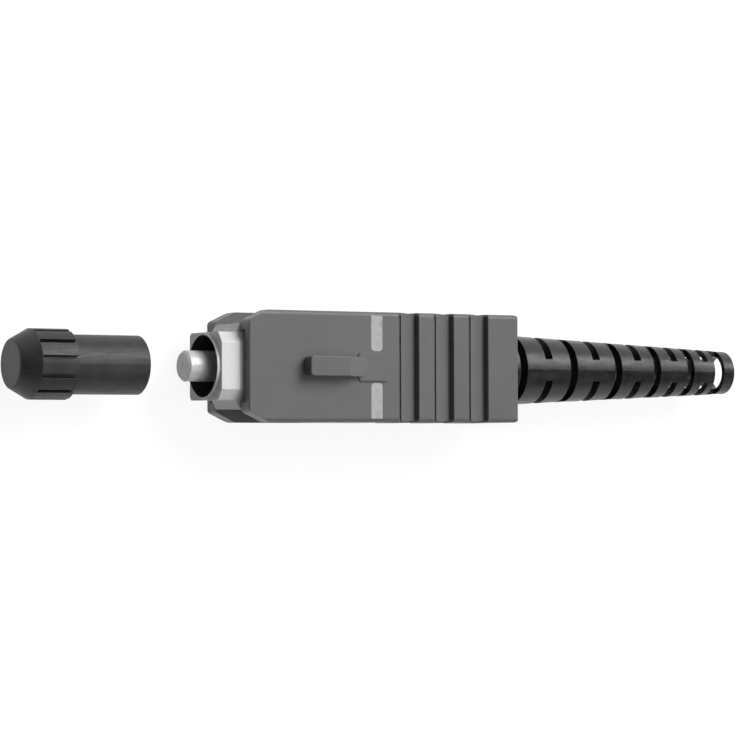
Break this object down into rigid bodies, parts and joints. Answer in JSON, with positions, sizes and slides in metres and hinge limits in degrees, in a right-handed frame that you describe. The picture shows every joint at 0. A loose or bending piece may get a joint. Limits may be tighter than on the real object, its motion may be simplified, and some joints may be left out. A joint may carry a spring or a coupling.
{
  "type": "sc fibre connector",
  "caption": "Push-pull square fibre plug with a ceramic ferrule, slotted strain-relief boot and pull-off dust cap.",
  "frame": {"origin": "on the ferrule's axis, in the plane of the plug frame's front face", "axes": "+X along the ferrule's axis towards the cable, +Y to the left side, +Z to the key side"},
  "size_m": [0.0684, 0.009, 0.0086],
  "materials": {
    "housing_plastic": "satin moulded",
    "mark_paint": "flat paint",
    "frame_plastic": "satin moulded",
    "nickel_plate": "nickel plated",
    "sleeve_metal": "plain",
    "boot_rubber": "matte",
    "spring_steel": "drawn wire",
    "zirconia": "polished",
    "tube_plastic": "translucent",
    "cap_plastic": "satin moulded"
  },
  "bodies": {
    "housing": {"outer_housing": "housing_plastic", "indicator_mark_left": "mark_paint", "indicator_mark_right": "mark_paint"},
    "plug": {"plug_frame": "frame_plastic", "stop_ring": "nickel_plate", "crimp_sleeve": "sleeve_metal", "boot": "boot_rubber", "ferrule_spring": "spring_steel"},
    "ferrule_unit": {"ferrule": "zirconia", "ferrule_flange": "nickel_plate", "guide_tube": "tube_plastic"},
    "cap": {"dust_cap": "cap_plastic"}
  },
  "joints": [
    {"name": "push_pull", "type": "slide", "parent": "housing", "child": "plug", "axis": [-1, 0, 0], "range_m": [0, 0.0018]},
    {"name": "ferrule_float", "type": "slide", "parent": "plug", "child": "ferrule_unit", "axis": [1, 0, 0], "range_m": [0, 0.001], "stiffness_N_per_m": 2500, "springref_m": -0.002, "deforming": ["ferrule_spring"]},
    {"name": "cap_push", "type": "slide", "parent": "plug", "child": "cap", "axis": [1, 0, 0], "range_m": [0, 0.01148]}
  ]
}
